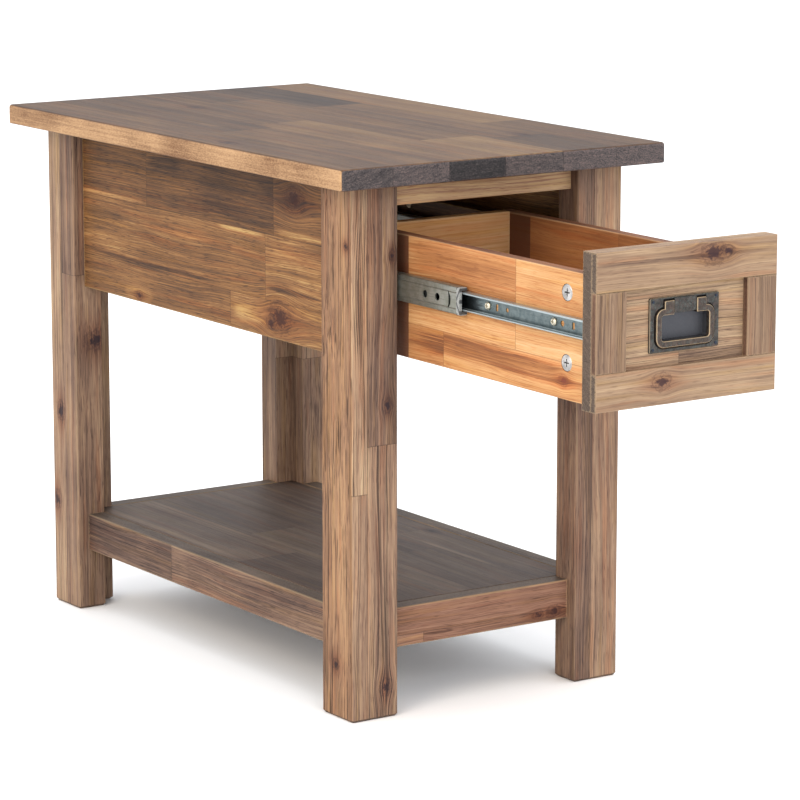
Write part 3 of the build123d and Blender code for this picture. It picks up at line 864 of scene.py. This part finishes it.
def metal(name, base, tint, along, roughness, seed, lips=None, greased=None):
    """Plated metal with rolling marks along one axis and a faint cloudy tint.

    lips is (centre height, distance): further than that from the centre height, the
    rolled lips of a slide member are brighter, a painted highlight that stands in for the
    light they catch.  greased is the place along Y behind which dark grease has
    collected on the metal.
    """
    tree = Tree(name)
    place = tree.position()
    scale = {axis: (0.05 if axis == along else 1.8) for axis in "XYZ"}
    lines = tree.noise(*(place[axis] * scale[axis] + seed for axis in "XYZ"), detail=3.0)
    cloud = tree.noise(*(place[axis] * 0.12 + seed for axis in "XYZ"), detail=3.0, roughness=0.6)
    shade = tree.mix(tree.smooth(cloud, 0.35, 0.65), base, tint)
    shade = tree.mix(tree.smooth(lines, 0.45, 0.8) * 0.35, shade, ROLLING_MARK)
    if greased is not None:
        smear = tree.smooth(place["Y"] + (lines - 0.5) * 30.0, greased - 4.0, greased + 4.0)
        shade = tree.mix(smear * 0.8, shade, GREASE)
    # Painted highlight: the rolled lips of a slide member are made brighter.
    if lips is not None:
        centre, distance = lips
        lip_highlight = tree.smooth(abs(place["Z"] - centre), distance, distance + 0.5)
        shade = tree.mix(lip_highlight * 0.45, shade, LIP_PAINTED_HIGHLIGHT)
    tree.set(
        Base_Color=shade,
        Metallic=0.85,
        Roughness=(lines - 0.5) * 0.3 + (cloud - 0.5) * 0.1 + roughness,
        Normal=tree.bump(lines, 0.02),
    )
    return tree.material


# How far in front of the bumper the grease reaches, and how far up and down from the
# middle of a drawer member its rolled lips, which carry a painted highlight, begin.
GREASE_REACH = 18.0
DRAWER_MEMBER_LIP = 6.6
cabinet_member_low, cabinet_member_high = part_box("left_cabinet_member")
slide_height = (cabinet_member_low[2] + cabinet_member_high[2]) / 2 * MM
bumper_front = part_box("left_slide_bumper")[0][1] * MM

middle_zinc = metal("middle_zinc", colour(150, 152, 144), colour(132, 134, 124), "Y", 0.38, 3.0)
drawer_zinc = metal(
    "drawer_zinc",
    colour(108, 119, 120),
    colour(84, 97, 99),
    "Y",
    0.34,
    5.0,
    lips=(slide_height, DRAWER_MEMBER_LIP),
    greased=bumper_front - GREASE_REACH,
)
cabinet_zinc = metal("cabinet_zinc", colour(170, 172, 168), colour(150, 154, 150), "Y", 0.38, 7.0)
cage_steel = metal("cage_steel", colour(62, 64, 64), colour(48, 50, 51), "Y", 0.4, 9.0)
ball_steel = metal("ball_steel", colour(205, 205, 208), colour(195, 196, 200), "X", 0.12, 11.0)
nickel = metal("nickel", colour(214, 206, 186), colour(186, 180, 162), "X", 0.36, 13.0)
cam_zinc = metal("cam_zinc", colour(196, 194, 192), colour(150, 148, 146), "X", 0.42, 15.0)
pin_metal = metal("pin_metal", colour(48, 54, 66), colour(36, 40, 50), "X", 0.5, 17.0)

for side in ("left", "right"):
    dress(f"{side}_middle_member", middle_zinc)
    dress(f"{side}_drawer_member", drawer_zinc)
    dress(f"{side}_cabinet_member", cabinet_zinc)
    for ring in ("outer", "inner"):
        dress(f"{side}_{ring}_ball_cage", cage_steel)
        dress(f"{side}_{ring}_balls", ball_steel)
for screws in ("drawer_member_screws", "cabinet_member_screws", "batten_screws", "tabletop_screws"):
    dress(screws, nickel)
for fitting in ("cam_locks", "cam_bolts"):
    dress(fitting, cam_zinc)
dress("pull_pins", pin_metal)
dress("pull_pivot_pin", pin_metal)


PLASTIC_SPECKS = (colour(70, 72, 73), colour(168, 170, 166))
PLASTIC_CHEVRON = colour(30, 32, 37)


def bumper_plastic():
    """Speckled grey plastic, moulded with dark chevrons."""
    tree = Tree("stop_plastic")
    place = tree.position()
    grit = tree.noise(*(place[axis] * 2.2 for axis in "XYZ"), detail=3.0, roughness=0.7)
    slant = abs(place["Z"] - slide_height) * 0.55 + place["Y"]
    stripe = tree.smooth(tree.math("SINE", slant * 1.15), 0.1, 0.8)
    shade = tree.ramp(grit, *zip((0.35, 0.65), PLASTIC_SPECKS))
    shade = tree.mix(stripe * 0.85, shade, PLASTIC_CHEVRON)
    tree.set(Base_Color=shade, Roughness=(grit - 0.5) * 0.2 + 0.42, Normal=tree.bump(grit, 0.08))
    return tree.material


stop_plastic = bumper_plastic()
for side in ("left", "right"):
    dress(f"{side}_slide_bumper", stop_plastic)


GREENER_PATINA = colour(92, 100, 98)
REDDER_PATINA = colour(108, 88, 84)
RECESS_FINISH = colour(70, 71, 76)
RUBBED_AND_LIT_BRASS = colour(190, 166, 132)


def bronze(node, shades, seed, rubbed_and_lit=0.55, sunk=None):
    """Antique bronze for one node: mottled patina, with brass on its edges that is partly
    wear and partly a painted highlight.

    shades go from dark to light.  sunk is how far behind the front of the node the
    smooth dark finish of a recess begins.
    """
    tree = Tree(f"bronze_{node}")
    place = tree.position()
    axes = [place[axis] for axis in "XYZ"]
    blotch = tree.noise(*(axis * 0.25 + seed for axis in axes), detail=4.0, roughness=0.65)
    grit = tree.noise(*(axis * 1.4 + seed for axis in axes), detail=3.0, roughness=0.6)
    tint = tree.noise(*(axis * 0.45 + seed + 7.0 for axis in axes), detail=2.0)
    dark, middle, light = (colour(*shade) for shade in shades)
    shade = tree.ramp((grit - 0.5) * 0.6 + blotch, (0.25, dark), (0.5, middle), (0.8, light))
    shade = tree.mix(tree.smooth(tint, 0.5, 0.7) * 0.35, shade, GREENER_PATINA)
    shade = tree.mix((1.0 - tree.smooth(tint, 0.3, 0.5)) * 0.3, shade, REDDER_PATINA)
    # Brass on the rounded edges: partly wear from handling, partly a painted highlight where the
    # edges turn toward the light.
    square_on = tree.facing("Y")
    arris = tree.smooth(square_on, 0.15, 0.4) * (1.0 - tree.smooth(square_on, 0.88, 0.98))
    edge_wear_and_light = arris * rubbed_and_lit
    if sunk is not None:
        depth = place["Y"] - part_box(node)[0][1] * MM
        recess = tree.smooth(depth, sunk, sunk + 0.4)
        shade = tree.mix(recess * 0.85, shade, RECESS_FINISH)
        edge_wear_and_light = edge_wear_and_light * (1.0 - recess)
    shade = tree.mix(edge_wear_and_light, shade, RUBBED_AND_LIT_BRASS)
    tree.set(
        Base_Color=shade,
        Metallic=0.7,
        Roughness=(grit - 0.5) * 0.3 - edge_wear_and_light * 0.1 + 0.5,
        Normal=tree.bump(grit + blotch, 0.06),
    )
    dress(node, tree.material)


bronze("pull_bail", [(37, 32, 29), (64, 55, 49), (90, 79, 70)], seed=3.0)
bronze(
    "pull_plate",
    [(33, 32, 31), (56, 54, 51), (82, 79, 74)],
    seed=5.0,
    rubbed_and_lit=0.3,
    sunk=3.6,
)


# ---------------------------------------------------------------- stage, light and camera

FLOOR_RADIUS = 12.0
FLOOR_SIDES = 96
FLOOR_GREY = 0.92


def make_floor():
    """Plain pale floor, a flat disc under the table."""
    mesh = bpy.data.meshes.new("floor")
    turns = [2 * math.pi * side / FLOOR_SIDES for side in range(FLOOR_SIDES)]
    rim = [(FLOOR_RADIUS * math.cos(turn), FLOOR_RADIUS * math.sin(turn), 0.0) for turn in turns]
    mesh.from_pydata(rim, [], [tuple(range(FLOOR_SIDES))])
    floor = bpy.data.objects.new("floor", mesh)
    scene.collection.objects.link(floor)
    tree = Tree("floor_paint")
    tree.set(Base_Color=(FLOOR_GREY, FLOOR_GREY, FLOOR_GREY, 1.0), Roughness=0.8)
    mesh.materials.append(tree.material)


def softbox(name, place, target, size, power, tint=(1.0, 1.0, 1.0)):
    """Square area light at a place, aimed at a target, in metres and watts."""
    data = bpy.data.lights.new(name, "AREA")
    data.shape = "SQUARE"
    data.size = size
    data.energy = power
    data.color = tint
    light = bpy.data.objects.new(name, data)
    light.location = place
    light.rotation_mode = "QUATERNION"
    light.rotation_quaternion = (Vector(target) - Vector(place)).to_track_quat("-Z", "Y")
    scene.collection.objects.link(light)


def make_lights():
    """Bright even surroundings, a warm key from the left, a broad top light and a front fill."""
    world = bpy.data.worlds.new("studio")
    world.use_nodes = True
    background = world.node_tree.nodes["Background"]
    background.inputs["Color"].default_value = (0.95, 0.97, 1.0, 1.0)
    background.inputs["Strength"].default_value = 1.6
    scene.world = world
    middle = (0.0, 0.05, 0.3)
    softbox("key_light", (-2.8, -1.3, 1.9), middle, 1.4, 48.0, (1.0, 0.84, 0.66))
    softbox("top_light", (0.2, -0.2, 3.2), middle, 2.4, 27.0)
    softbox("fill_light", (-0.7, -3.2, 1.1), middle, 2.0, 38.0, (0.96, 0.97, 1.0))


# Place in metres, angles in degrees, lens and sensor in millimetres.
CAMERA_PLACE = (-1.900, -2.817, 0.9246)
CAMERA_TURN = 34.022
CAMERA_DIP = 11.105
CAMERA_LENS = 165.2
CAMERA_SENSOR = 36.0


def make_camera():
    """Long lens, looking to the back right and a little down."""
    data = bpy.data.cameras.new("camera")
    data.lens = CAMERA_LENS
    data.sensor_width = CAMERA_SENSOR
    data.clip_start = 0.1
    data.clip_end = 60.0
    camera = bpy.data.objects.new("camera", data)
    camera.location = CAMERA_PLACE
    camera.rotation_euler = (math.radians(90 - CAMERA_DIP), 0.0, math.radians(-CAMERA_TURN))
    scene.collection.objects.link(camera)
    scene.camera = camera


make_floor()
make_lights()
make_camera()
scene.view_settings.view_transform = "Standard"
